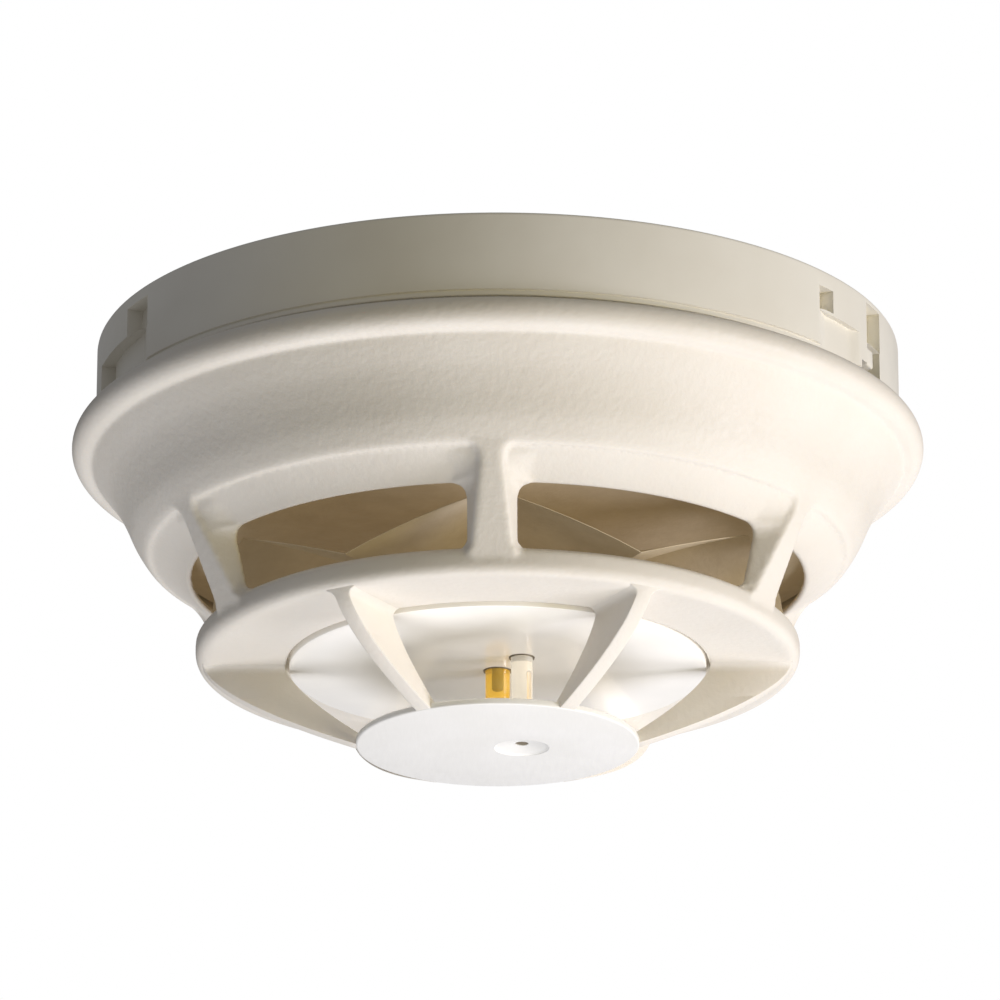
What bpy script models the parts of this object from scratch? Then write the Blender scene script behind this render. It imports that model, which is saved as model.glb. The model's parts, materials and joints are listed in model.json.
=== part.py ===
"""Ceiling heat detector: a plug-in detector head on a twist-lock mounting base.

Metres, +Z up. The origin is the centre of the ceiling plane, which is the base's top face, and
everything hangs below it. A depth is a distance down from the ceiling. A bearing is an angle in
degrees about the vertical axis, 0 at the front (-Y) and 90 at +X.
"""
import math

import bmesh
import bpy

MM = 0.001
SEGMENTS = 60                 # facets round a turned shape
GAP = 0.3 * MM                # clearance between pieces that rest on each other
SINK = 0.4 * MM               # how far a joined feature reaches into its parent

# Mounting base
BASE_RADIUS = 54.3 * MM
BASE_DEPTH = 11.4 * MM
BASE_WALL = 3.0 * MM
BASE_PLATE = 2.2 * MM
CABLE_HOLE_RADIUS = 17.0 * MM
FIXING_SPACING = 60.0 * MM
FIXING_SLOT_WIDTH = 5.2 * MM
FIXING_SLOT_TRAVEL = 5.0 * MM
HOOK_REACH = 3.5 * MM
HOOK_TOP = BASE_DEPTH - 2.8 * MM
HOOK_THICKNESS = 2.2 * MM
HOOK_HALF_ANGLE = 7.0
PAD_TOP = 0.9 * MM            # depths of the raised pads' upper and lower edges
PAD_BOTTOM = BASE_DEPTH - 5.8 * MM
POCKET_DEPTH = 2.2 * MM       # how far the wall is let in beside a pad
RECESS = 1.7 * MM             # and below the left pad and beside the latch
SCOOP = 0.8 * MM              # and below the right pad

# Bayonet
BAYONET_BEARINGS = (0, 120, 240)
LUG_HALF_ANGLE = 6.0
LUG_THICKNESS = 2.0 * MM
COLLAR_RADIUS = BASE_RADIUS - 9.8 * MM
COLLAR_WALL = 2.0 * MM

# Terminals in the base and contact blades on the head
TERMINAL_BEARINGS = (45, 135, 225, 315)
TERMINAL_CIRCLE = 33.0 * MM
TERMINAL_POST = (11.0 * MM, 9.0 * MM)
TERMINAL_POST_DEPTH = 5.2 * MM
STRIP_THICKNESS = 0.8 * MM
LEAF_THICKNESS = 0.5 * MM
LEAF_WIDTH = 4.0 * MM
CONTACT_OFFSET = 19.0         # degrees from a terminal screw to its contact
CONTACT_DEPTH = BASE_DEPTH - 2.5 * MM       # lowest point of a contact leaf
CLAMP_SIDE = 7.0 * MM
CLAMP_THICKNESS = 0.9 * MM
SCREW_SHANK = 1.5 * MM
SCREW_HEAD = 2.9 * MM
SCREW_HEAD_DEPTH = 1.6 * MM

# Locking latch in the base wall
LATCH_BEARING = 66.8
LATCH_WIDTH = 2.5 * MM
LATCH_TOP = BASE_DEPTH - 4.5 * MM
LATCH_DEPTH = 2.5 * MM
LATCH_EAR = 1.4 * MM
SPRING_WIRE = 0.7 * MM
SPRING_BOW = 1.6 * MM
SPRING_LENGTH = 11.0 * MM
EAR_WIDTH = 7.4 * MM
NOTCH_TOP = LATCH_TOP - GAP
NOTCH_START = 65.1            # bearings of the notch that the latch sits in
NOTCH_END = 70.0

# Outer cover
COVER_WALL = 2.0 * MM
COVER_TOP = BASE_DEPTH + GAP
BEAD_REACH = 3.2 * MM
BEAD_RADIUS = BASE_RADIUS + BEAD_REACH
BEAD_DEPTH = COVER_TOP + 2.6 * MM
BODY_HEIGHT = 16.8 * MM       # from the joint with the base to a window's upper outline
WINDOW_TOP_RADIUS = BASE_RADIUS - 6.8 * MM
WINDOW_TOP_DEPTH = COVER_TOP + BODY_HEIGHT
HOLE_RADIUS = WINDOW_TOP_RADIUS - 6.5 * MM
HOLE_TOP_DEPTH = WINDOW_TOP_DEPTH + 3.8 * MM
HOLE_HEIGHT = 8.0 * MM
HOLE_BOTTOM_DEPTH = HOLE_TOP_DEPTH + HOLE_HEIGHT
RING_RADIUS = HOLE_RADIUS - 0.6 * MM
RING_TOP_DEPTH = HOLE_BOTTOM_DEPTH + 0.7 * MM
LEDGE_DEPTH = RING_TOP_DEPTH + 3.2 * MM
LEDGE_RADIUS = 28.2 * MM
BAYS = 6
WINDOW_HALF_ANGLE = 28.2      # at the outer outline of a window
HOLE_HALF_ANGLE = 25.2        # at the hole in its inner wall

# Lower cage
CAGE_HEIGHT = 10.9 * MM       # from the ledge to the disc's face
DISC_RADIUS = LEDGE_RADIUS - 9.3 * MM
DISC_DEPTH = LEDGE_DEPTH + CAGE_HEIGHT
DISC_THICKNESS = 0.9 * MM
FIN_THICKNESS = 2.2 * MM
FIN_OUTER_POWER = 1.75
FIN_INNER_POWER = 1.45
DIMPLE_RADIUS = 3.7 * MM
DIMPLE_HOLE_RADIUS = 0.8 * MM
DIMPLE_X = 3.2 * MM
DIMPLE_Y = 0.9 * MM

# Head internals
CHASSIS_RADIUS = BASE_RADIUS - 3.3 * MM
CHASSIS_PLATE = 2.0 * MM
BOARD_RADIUS = CHASSIS_RADIUS - 9.0 * MM
BOARD_THICKNESS = 1.6 * MM
STANDOFF_HEIGHT = 3.0 * MM
STANDOFF_RADIUS = 3.0 * MM
BOARD_SCREW_CIRCLE = 30.0 * MM
COVER_SCREW_CIRCLE = CHASSIS_RADIUS - 3.8 * MM
COVER_BOSS_DEPTH = COVER_TOP + 10.3 * MM
SCREW_BEARINGS = (60, 180, 300)
ROOF_RADIUS = CHASSIS_RADIUS - 6.0 * MM
ROOF_DEPTH = WINDOW_TOP_DEPTH - 2.0 * MM
ROOF_THICKNESS = 1.2 * MM
HUB_RADIUS = 10.6 * MM
HUB_WALL = 1.6 * MM
VANE_RADIUS = HOLE_RADIUS - 2.7 * MM
VANE_TOP_DEPTH = ROOF_DEPTH + 4.5 * MM
VANE_DROP = HOLE_HEIGHT - 1.0 * MM
VANE_THICKNESS = 1.2 * MM
SEAT_FLANGE = 3.4 * MM        # how far the inner cover's flange reaches past its face
SEAT_THICKNESS = 1.0 * MM
INNER_COVER_GAP = 0.4 * MM
INNER_COVER_PROUD = 0.4 * MM
INNER_COVER_THICKNESS = 1.6 * MM

# Sensor and indicator
THERMISTOR_RADIUS = 1.65 * MM
THERMISTOR_SHARE = 0.53       # of the way from the inner cover's face to the disc
LEAD_RADIUS = 0.25 * MM
LEAD_SPACING = 1.4 * MM
PIPE_RADIUS = 1.45 * MM
PIPE_X = 3.3 * MM
PIPE_Y = -5.8 * MM
LED_SIZE = (3.0 * MM, 2.6 * MM, 1.5 * MM)

# Levels worked out from the sizes above
COLLAR_TOP = HOOK_TOP - GAP - LUG_THICKNESS
CHASSIS_TOP = BASE_DEPTH + 0.5 * MM
CHASSIS_BOTTOM = CHASSIS_TOP + CHASSIS_PLATE
BOARD_TOP = CHASSIS_BOTTOM + STANDOFF_HEIGHT + GAP
BOARD_BOTTOM = BOARD_TOP + BOARD_THICKNESS
LEDGE_TOP = LEDGE_DEPTH - COVER_WALL
INNER_COVER_RADIUS = LEDGE_RADIUS - INNER_COVER_GAP
INNER_COVER_FACE = LEDGE_DEPTH + INNER_COVER_PROUD
INNER_COVER_TOP = LEDGE_TOP - GAP - SEAT_THICKNESS
DISC_TOP = DISC_DEPTH - DISC_THICKNESS
THERMISTOR_REACH = THERMISTOR_SHARE * (DISC_TOP - INNER_COVER_FACE)
CONTACT_PAD_TOP = CONTACT_DEPTH + GAP
CONTACT_PAD_THICKNESS = 0.6 * MM


# ---------------------------------------------------------------- scene and materials

def clear_scene():
    for thing in list(bpy.data.objects):
        bpy.data.objects.remove(thing, do_unlink=True)


def make_collection(name):
    group = bpy.data.collections.new(name)
    bpy.context.scene.collection.children.link(group)
    return group


def make_material(name, colour, roughness, metallic=0.0, transmission=0.0):
    material = bpy.data.materials.new(name)
    material.use_nodes = True
    shader = material.node_tree.nodes["Principled BSDF"]
    shader.inputs["Base Color"].default_value = (*colour, 1.0)
    shader.inputs["Roughness"].default_value = roughness
    shader.inputs["Metallic"].default_value = metallic
    shader.inputs["Transmission Weight"].default_value = transmission
    return material


clear_scene()
PARTS = make_collection("heat_detector")
CUTTERS = make_collection("cutters")

CREAM = make_material("cream_housing", (0.78, 0.74, 0.66), 0.45)
BASE_CREAM = make_material("cream_base", (0.74, 0.71, 0.64), 0.5)
WHITE = make_material("white_inner_cover", (0.85, 0.85, 0.84), 0.3)
TAN = make_material("tan_deflector", (0.42, 0.33, 0.24), 0.6)
GREY = make_material("grey_chassis", (0.35, 0.35, 0.36), 0.6)
BOARD = make_material("green_board", (0.05, 0.25, 0.12), 0.5)
CHIP = make_material("black_package", (0.03, 0.03, 0.03), 0.5)
BRASS = make_material("brass_contact", (0.75, 0.55, 0.25), 0.3, 1.0)
STEEL = make_material("plated_steel", (0.6, 0.6, 0.6), 0.3, 1.0)
CLEAR = make_material("clear_light_pipe", (0.95, 0.95, 0.93), 0.08, 0.0, 1.0)
AMBER = make_material("amber_bead", (0.78, 0.45, 0.06), 0.15)
RED = make_material("red_lens", (0.7, 0.04, 0.03), 0.3)


# ---------------------------------------------------------------- shapes

def place(radius, bearing, depth):
    """A point at a radius, bearing and depth."""
    angle = math.radians(bearing)
    return (radius * math.sin(angle), -radius * math.cos(angle), -depth)


def add_object(name, mesh, material, group=PARTS):
    thing = bpy.data.objects.new(name, mesh)
    group.objects.link(thing)
    mesh.materials.append(material)
    if group is CUTTERS:
        thing.hide_render = True
        thing.display_type = "WIRE"
    return thing


def mesh_from(name, build):
    """A mesh filled by a function that works on a bmesh, with its faces turned outwards."""
    mesh = bpy.data.meshes.new(name)
    work = bmesh.new()
    build(work)
    bmesh.ops.recalc_face_normals(work, faces=work.faces)
    work.to_mesh(mesh)
    work.free()
    return mesh


def smooth(thing, angle=32):
    thing.data.shade_smooth()
    thing.data.set_sharp_from_angle(angle=math.radians(angle))
    return thing


def turned(name, profile, material, group=PARTS, centre=(0.0, 0.0), segments=SEGMENTS):
    """A turned solid. The profile is (radius, depth) points, down the outside and up the inside."""
    mesh = bpy.data.meshes.new(name)
    points = [(radius, 0.0, -depth) for radius, depth in profile]
    on_axis = profile[0][0] == 0.0 and profile[-1][0] == 0.0
    edges = [(i, i + 1) for i in range(len(points) - 1)]
    if not on_axis:
        edges.append((len(points) - 1, 0))
    mesh.from_pydata(points, edges, [])
    thing = add_object(name, mesh, material, group)
    thing.location = (centre[0], centre[1], 0.0)
    screw = thing.modifiers.new("turn", "SCREW")
    screw.angle = 2 * math.pi
    screw.steps = segments
    screw.render_steps = segments
    screw.use_merge_vertices = True
    screw.merge_threshold = 0.00001
    screw.use_smooth_shade = True
    return thing


def loft(name, sections, material, group=PARTS):
    """A closed solid through equal-sized loops of points, capped at both ends."""
    def build(work):
        loops = [[work.verts.new(point) for point in section] for section in sections]
        count = len(loops[0])
        for first, second in zip(loops, loops[1:]):
            for i in range(count):
                j = (i + 1) % count
                work.faces.new((first[i], first[j], second[j], second[i]))
        work.faces.new(loops[0])
        work.faces.new(loops[-1])
    return add_object(name, mesh_from(name, build), material, group)


def sector(name, profile, bearing, half_angles, material, group=PARTS, steps=10):
    """A block that follows the round: (radius, depth) points swept to each side of a bearing.

    half_angles is one angle in degrees, or one for each point of the profile."""
    if not isinstance(half_angles, (list, tuple)):
        half_angles = [half_angles] * len(profile)
    sections = []
    for step in range(steps + 1):
        share = 2.0 * step / steps - 1.0
        sections.append([place(radius, bearing + share * half, depth)
                         for (radius, depth), half in zip(profile, half_angles)])
    return loft(name, sections, material, group)


def block(name, size, centre, bearing, material, group=PARTS, bevel=0.0):
    """A box of (tangential, radial, vertical) size, turned to face along a bearing."""
    def build(work):
        bmesh.ops.create_cube(work, size=1.0)
        for vertex in work.verts:
            vertex.co = [vertex.co[axis] * size[axis] for axis in range(3)]
    thing = add_object(name, mesh_from(name, build), material, group)
    thing.location = centre
    thing.rotation_euler = (0.0, 0.0, math.radians(bearing))
    if bevel:
        edge = thing.modifiers.new("edge", "BEVEL")
        edge.width = bevel
        edge.segments = 2
    return thing


def rod(name, radius, top, bottom, centre, material, group=PARTS, segments=24):
    """An upright cylinder between two depths."""
    def build(work):
        bmesh.ops.create_cone(work, cap_ends=True, segments=segments, radius1=radius,
                              radius2=radius, depth=bottom - top)
    thing = add_object(name, mesh_from(name, build), material, group)
    thing.location = (centre[0], centre[1], -(top + bottom) / 2)
    return smooth(thing)


def combine(thing, tool, operation):
    modifier = thing.modifiers.new(operation.lower() + "_" + tool.name, "BOOLEAN")
    modifier.operation = operation
    modifier.solver = "EXACT"
    modifier.object = tool


def join(thing, tool):
    combine(thing, tool, "UNION")


def cut(thing, tool):
    combine(thing, tool, "DIFFERENCE")


# ---------------------------------------------------------------- mounting base

def make_base():
    """A shallow round dish with a cable hole, fixing slots, terminal posts and bayonet hooks."""
    inner = BASE_RADIUS - BASE_WALL
    chamfer = 0.4 * MM
    base = turned("mounting_base", [
        (BASE_RADIUS - chamfer, 0.0), (BASE_RADIUS, chamfer), (BASE_RADIUS, BASE_DEPTH - chamfer),
        (BASE_RADIUS - chamfer, BASE_DEPTH), (inner, BASE_DEPTH), (inner, BASE_PLATE),
        (CABLE_HOLE_RADIUS, BASE_PLATE), (CABLE_HOLE_RADIUS, 0.0)], BASE_CREAM)

    hook = [(inner + SINK, HOOK_TOP), (inner + SINK, HOOK_TOP + HOOK_THICKNESS),
            (inner - HOOK_REACH, HOOK_TOP + HOOK_THICKNESS), (inner - HOOK_REACH, HOOK_TOP)]
    for number, bearing in enumerate(BAYONET_BEARINGS, 1):
        join(base, sector(f"hook_tool_{number}", hook, bearing, HOOK_HALF_ANGLE, BASE_CREAM,
                          CUTTERS, steps=4))

    for number, bearing in enumerate(TERMINAL_BEARINGS, 1):
        top = BASE_PLATE - SINK
        x, y, z = place(TERMINAL_CIRCLE, bearing, (top + TERMINAL_POST_DEPTH) / 2)
        size = (*TERMINAL_POST, TERMINAL_POST_DEPTH - top)
        join(base, block(f"post_tool_{number}", size, (x, y, z), bearing, BASE_CREAM, CUTTERS))
        cut(base, rod(f"thread_tool_{number}", SCREW_SHANK + GAP, BASE_PLATE + 0.4 * MM,
                      TERMINAL_POST_DEPTH + SINK, (x, y), BASE_CREAM, CUTTERS, 16))

    for number, side in enumerate((-1, 1), 1):
        size = (FIXING_SLOT_WIDTH, FIXING_SLOT_WIDTH + FIXING_SLOT_TRAVEL, 3 * BASE_PLATE)
        centre = (side * FIXING_SPACING / 2, 0.0, -BASE_PLATE / 2)
        cut(base, block(f"slot_tool_{number}", size, centre, 0.0, BASE_CREAM, CUTTERS))

    spring_posts(base)
    cut_base_outside(base)
    return smooth(base)


def cut_base_outside(base):
    """The pads, pockets, scoops and latch notch on the outside of the base's wall."""
    outside = BASE_RADIUS + 2 * MM
    clear = BASE_RADIUS + 0.1 * MM
    pocket = BASE_RADIUS - POCKET_DEPTH
    recess = BASE_RADIUS - RECESS
    scoop = BASE_RADIUS - SCOOP
    through = BASE_RADIUS - BASE_WALL - 0.6 * MM
    over = BASE_DEPTH + 2 * MM

    def band(name, top, bottom, stops):
        """Lets the wall in between two depths, to an inner radius stated at each bearing."""
        sections = []
        for (start, first), (end, last) in zip(stops, stops[1:]):
            pieces = max(1, round((end - start) / 4.0))
            for piece in range(pieces):
                share = piece / pieces
                sections.append((start + (end - start) * share, first + (last - first) * share))
        sections.append(stops[-1])
        loops = [[place(outside, turn, top), place(outside, turn, bottom),
                  place(inner, turn, bottom), place(inner, turn, top)] for turn, inner in sections]
        cut(base, loft(name, loops, BASE_CREAM, CUTTERS))

    band("left_scoop_tool", PAD_BOTTOM, over, [(-75.4, recess), (-62.0, recess), (-56.5, clear)])
    band("left_pocket_tool", PAD_TOP, PAD_BOTTOM + 0.1 * MM,
         [(-63.6, pocket), (-61.0, pocket), (-57.0, clear)])
    band("left_slot_tool", PAD_BOTTOM - 0.1 * MM, PAD_BOTTOM + 3.9 * MM,
         [(-76.6, pocket), (-75.0, pocket)])
    band("right_scoop_tool", PAD_BOTTOM + 0.3 * MM, over,
         [(51.0, clear), (54.5, scoop), (60.5, scoop), (63.0, clear)])
    band("right_pocket_tool", PAD_TOP, PAD_BOTTOM,
         [(51.8, clear), (54.2, pocket), (55.8, pocket)])
    band("right_recess_tool", PAD_TOP, NOTCH_TOP + 0.1 * MM,
         [(NOTCH_START - 0.2, recess), (NOTCH_END + 0.2, recess)])
    band("notch_tool", NOTCH_TOP, over, [(NOTCH_START, through), (NOTCH_END, through)])
    band("notch_foot_tool", LATCH_TOP + LATCH_DEPTH + 0.4 * MM, over + MM,
         [(NOTCH_START - 1.9, through - SINK), (NOTCH_START + 1.5, through - SINK)])


def make_terminals():
    """Four terminals: a strip with a sprung contact leaf, a wire clamp and a screw."""
    for number, bearing in enumerate(TERMINAL_BEARINGS, 1):
        x, y, _ = place(TERMINAL_CIRCLE, bearing, 0.0)
        strip_top = TERMINAL_POST_DEPTH + GAP
        strip_bottom = strip_top + STRIP_THICKNESS
        clamp_top = strip_bottom + GAP
        clamp_bottom = clamp_top + CLAMP_THICKNESS
        head_top = clamp_bottom + GAP

        strip = block(f"terminal_strip_{number}",
                      (TERMINAL_POST[0] - MM, TERMINAL_POST[1] - MM, STRIP_THICKNESS),
                      (x, y, -(strip_top + strip_bottom) / 2), bearing, BRASS)
        join(strip, contact_leaf(number, bearing, strip_top))
        cut(strip, rod(f"strip_hole_tool_{number}", SCREW_SHANK + GAP, strip_top - MM,
                       strip_bottom + MM, (x, y), BRASS, CUTTERS, 16))

        clamp = block(f"wire_clamp_{number}", (CLAMP_SIDE, CLAMP_SIDE, CLAMP_THICKNESS),
                      (x, y, -(clamp_top + clamp_bottom) / 2), bearing, STEEL)
        cut(clamp, rod(f"clamp_hole_tool_{number}", SCREW_SHANK + GAP, clamp_top - MM,
                       clamp_bottom + MM, (x, y), STEEL, CUTTERS, 16))
        slotted_screw(f"terminal_screw_{number}", (x, y), BASE_PLATE + 0.8 * MM, head_top,
                      SCREW_SHANK, SCREW_HEAD, SCREW_HEAD_DEPTH, bearing)


def contact_leaf(number, bearing, strip_top):
    """The leaf leaves the strip's edge and bows down to its contact point and back up."""
    half = (TERMINAL_POST[0] - MM) / 2
    start = -math.degrees(math.atan2(half - MM, TERMINAL_CIRCLE))
    level = strip_top + LEAF_THICKNESS / 2
    crest = CONTACT_DEPTH - LEAF_THICKNESS / 2
    steps = 9
    sections = []
    for step in range(steps + 1):
        share = step / steps
        turn = start + share * (-CONTACT_OFFSET - 4.0 - start)
        depth = level + (crest - level) * math.sin(min(1.0, share * 1.25) * math.pi / 2) ** 2
        section = [(LEAF_WIDTH / 2, -LEAF_THICKNESS / 2), (LEAF_WIDTH / 2, LEAF_THICKNESS / 2),
                   (-LEAF_WIDTH / 2, LEAF_THICKNESS / 2), (-LEAF_WIDTH / 2, -LEAF_THICKNESS / 2)]
        sections.append([place(TERMINAL_CIRCLE + across, bearing + turn, depth + through)
                         for across, through in section])
    return loft(f"leaf_tool_{number}", sections, BRASS, CUTTERS)


def slotted_screw(name, centre, shank_top, head_top, shank, head, head_depth, bearing):
    """A screw driven upwards: a shank above and a slotted head below."""
    head_bottom = head_top + head_depth
    screw = turned(name, [(0.0, shank_top), (shank, shank_top), (shank, head_top),
                          (head, head_top), (head, head_bottom - head_depth / 4),
                          (head * 0.85, head_bottom), (0.0, head_bottom)],
                   STEEL, centre=centre, segments=20)
    slot = (3 * head, head * 0.28, head_depth)
    middle = (centre[0], centre[1], -head_bottom)
    cut(screw, block(name + "_slot_tool", slot, middle, bearing + 30, STEEL, CUTTERS))
    return screw


def make_latch():
    """The locking latch, a button in the wall's window that pushes inwards onto its spring."""
    outer = BASE_RADIUS - 0.3 * MM
    ears_outer = BASE_RADIUS - BASE_WALL - GAP
    inner = ears_outer - LATCH_EAR
    middle = LATCH_TOP + LATCH_DEPTH / 2
    button = block("locking_latch", (LATCH_WIDTH, outer - inner, LATCH_DEPTH),
                   place((outer + inner) / 2, LATCH_BEARING, middle), LATCH_BEARING, BASE_CREAM)
    ears = block("latch_ears_tool", (EAR_WIDTH, LATCH_EAR - 0.1 * MM, LATCH_DEPTH / 2),
                 place(ears_outer - (LATCH_EAR - 0.1 * MM) / 2, LATCH_BEARING, middle),
                 LATCH_BEARING, BASE_CREAM, CUTTERS)
    join(button, ears)

    wire = SPRING_WIRE / 2
    crest = inner - GAP - wire
    angle = math.radians(LATCH_BEARING)
    sections = []
    steps = 12
    for step in range(steps + 1):
        share = 2.0 * step / steps - 1.0
        radial = crest - SPRING_BOW * (1 - math.cos(share * math.pi / 2))
        section = []
        for k in range(8):
            turn = k * math.pi / 4
            out = radial + wire * math.cos(turn)
            x = out * math.sin(angle) + share * SPRING_LENGTH / 2 * math.cos(angle)
            y = -out * math.cos(angle) + share * SPRING_LENGTH / 2 * math.sin(angle)
            section.append((x, y, -(middle + wire * math.sin(turn))))
        sections.append(section)
    loft("latch_spring", sections, STEEL)


def spring_posts(base):
    """Two posts on the base's plate that the ends of the latch's spring rest against."""
    crest = BASE_RADIUS - BASE_WALL - GAP - LATCH_EAR - GAP - SPRING_WIRE / 2
    front = crest - SPRING_BOW - SPRING_WIRE / 2 - GAP
    thickness = 1.2 * MM
    angle = math.radians(LATCH_BEARING)
    top = BASE_PLATE - SINK
    bottom = LATCH_TOP + LATCH_DEPTH
    x, y, z = place(front - thickness / 2, LATCH_BEARING, (top + bottom) / 2)
    for number, side in enumerate((-1, 1), 1):
        aside = side * (SPRING_LENGTH / 2 - 0.8 * MM)
        centre = (x + aside * math.cos(angle), y + aside * math.sin(angle), z)
        join(base, block(f"spring_post_tool_{number}", (1.6 * MM, thickness, bottom - top), centre,
                         LATCH_BEARING, BASE_CREAM, CUTTERS))


# ---------------------------------------------------------------- outer cover

def cover_outline():
    """The cover's outer side from the joint with the base down to the ring's lower edge."""
    outline = [(BASE_RADIUS - 0.5 * MM, COVER_TOP), (BASE_RADIUS - 0.5 * MM, COVER_TOP + 0.6 * MM)]
    roll = 2.1 * MM
    for turn in range(-60, 76, 33):
        angle = math.radians(turn)
        outline.append((BEAD_RADIUS - roll + roll * math.cos(angle),
                        BEAD_DEPTH + roll * math.sin(angle)))
    wall_top = (BASE_RADIUS - 0.3 * MM, BEAD_DEPTH + 3.3 * MM)
    for step in range(4):
        share = step / 3
        belly = -1.1 * MM * math.sin(share * math.pi)
        outline.append((wall_top[0] + (WINDOW_TOP_RADIUS - wall_top[0]) * share + belly,
                        wall_top[1] + (WINDOW_TOP_DEPTH - wall_top[1]) * share))
    outline.append((RING_RADIUS, RING_TOP_DEPTH))
    round_off = 1.4 * MM
    for turn in (0, 45, 90):
        angle = math.radians(turn)
        outline.append((RING_RADIUS - round_off + round_off * math.cos(angle),
                        LEDGE_DEPTH - round_off + round_off * math.sin(angle)))
    return outline


def make_outer_cover():
    outline = cover_outline()
    inside = [(LEDGE_RADIUS, LEDGE_DEPTH), (LEDGE_RADIUS, LEDGE_TOP),
              (RING_RADIUS - COVER_WALL, LEDGE_TOP),
              (RING_RADIUS - COVER_WALL, RING_TOP_DEPTH - MM),
              (WINDOW_TOP_RADIUS - 1.2 * COVER_WALL, WINDOW_TOP_DEPTH - 0.2 * MM),
              (CHASSIS_RADIUS - 0.4 * MM, COVER_TOP + 7.3 * MM),
              (CHASSIS_RADIUS + 0.4 * MM, COVER_TOP + 4.8 * MM),
              (CHASSIS_RADIUS + 0.4 * MM, COVER_TOP)]
    cover = turned("outer_cover", outline + inside, CREAM)

    for number, bearing in enumerate(SCREW_BEARINGS, 1):
        x, y, _ = place(COVER_SCREW_CIRCLE, bearing, 0.0)
        boss = rod(f"boss_tool_{number}", 2.3 * MM, CHASSIS_BOTTOM + GAP, COVER_BOSS_DEPTH,
                   (x, y), CREAM, CUTTERS, 16)
        join(cover, boss)
        cut(cover, rod(f"boss_hole_tool_{number}", 1.3 * MM, CHASSIS_BOTTOM - MM,
                       COVER_BOSS_DEPTH - 1.5 * MM, (x, y), CREAM, CUTTERS, 12))

    for bay in range(BAYS):
        cut_window(cover, bay, 360.0 / BAYS * (bay + 0.5))
    for bay in range(BAYS):
        join(cover, fin_tool(bay, 360.0 / BAYS * (bay + 0.5)))

    disc = turned("disc_tool", [(0.0, DISC_TOP), (DISC_RADIUS - 0.2 * MM, DISC_TOP),
                                (DISC_RADIUS, DISC_TOP + 0.2 * MM),
                                (DISC_RADIUS, DISC_DEPTH - 0.25 * MM),
                                (DISC_RADIUS - 0.25 * MM, DISC_DEPTH), (0.0, DISC_DEPTH)],
                  CREAM, CUTTERS, segments=48)
    join(cover, disc)
    dimple = turned("dimple_tool", [(0.0, DISC_TOP - MM), (DIMPLE_HOLE_RADIUS, DISC_TOP - MM),
                                    (DIMPLE_HOLE_RADIUS, DISC_DEPTH - 0.55 * MM),
                                    (DIMPLE_RADIUS, DISC_DEPTH), (DIMPLE_RADIUS, DISC_DEPTH + MM),
                                    (0.0, DISC_DEPTH + MM)], CREAM, CUTTERS,
                    (DIMPLE_X, DIMPLE_Y), 24)
    cut(cover, dimple)
    return smooth(cover)


def cut_window(cover, bay, bearing):
    """One window: a scooped frame that narrows inwards to a hole in the wall."""
    slope = (WINDOW_TOP_RADIUS - HOLE_RADIUS) / (HOLE_TOP_DEPTH - WINDOW_TOP_DEPTH)
    beyond = 1.5 * MM
    inner = RING_RADIUS - 2 * COVER_WALL
    narrow = HOLE_HALF_ANGLE
    wide = WINDOW_HALF_ANGLE + narrow * 0.03
    profile = [(WINDOW_TOP_RADIUS + slope * beyond, WINDOW_TOP_DEPTH - beyond),
               (WINDOW_TOP_RADIUS + slope * beyond, RING_TOP_DEPTH + 0.9 * MM),
               (HOLE_RADIUS, HOLE_BOTTOM_DEPTH), (inner, HOLE_BOTTOM_DEPTH),
               (inner, HOLE_TOP_DEPTH), (HOLE_RADIUS, HOLE_TOP_DEPTH)]
    half = [wide, 0.5 * (wide + narrow), narrow, narrow, narrow, narrow]
    cut(cover, sector(f"window_tool_{bay}", profile, bearing, half, CREAM, CUTTERS, 13))


def fin_tool(bay, bearing):
    """A radial web from the ledge down to the disc, with a bowed outer and inner edge."""
    start = LEDGE_DEPTH - 1.0 * MM
    rim = RING_RADIUS - 0.7 * MM
    disc_rim = DISC_RADIUS + 0.3 * MM
    outer = []
    for step in range(9):
        share = step / 8
        radius = disc_rim + (rim - disc_rim) * (1 - share ** FIN_OUTER_POWER)
        outer.append((radius, start + (DISC_DEPTH - 0.05 * MM - start) * share))
    inner = []
    end = DISC_RADIUS - 1.6 * MM
    root = LEDGE_RADIUS + 0.2 * MM
    for step in range(7):
        share = 1 - step / 6
        radius = end + (root - end) * (1 - share ** FIN_INNER_POWER)
        inner.append((radius, LEDGE_DEPTH + (DISC_TOP + 0.1 * MM - LEDGE_DEPTH) * share))
    profile = outer + [(end, DISC_DEPTH - 0.05 * MM)] + inner + [(root, start)]
    angle = math.radians(bearing)
    side = (math.cos(angle), math.sin(angle))
    sections = []
    for offset in (-FIN_THICKNESS / 2, FIN_THICKNESS / 2):
        section = []
        for radius, depth in profile:
            x, y, z = place(radius, bearing, depth)
            section.append((x + offset * side[0], y + offset * side[1], z))
        sections.append(section)
    return loft(f"fin_tool_{bay}", sections, CREAM, CUTTERS)


# ---------------------------------------------------------------- head internals

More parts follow.
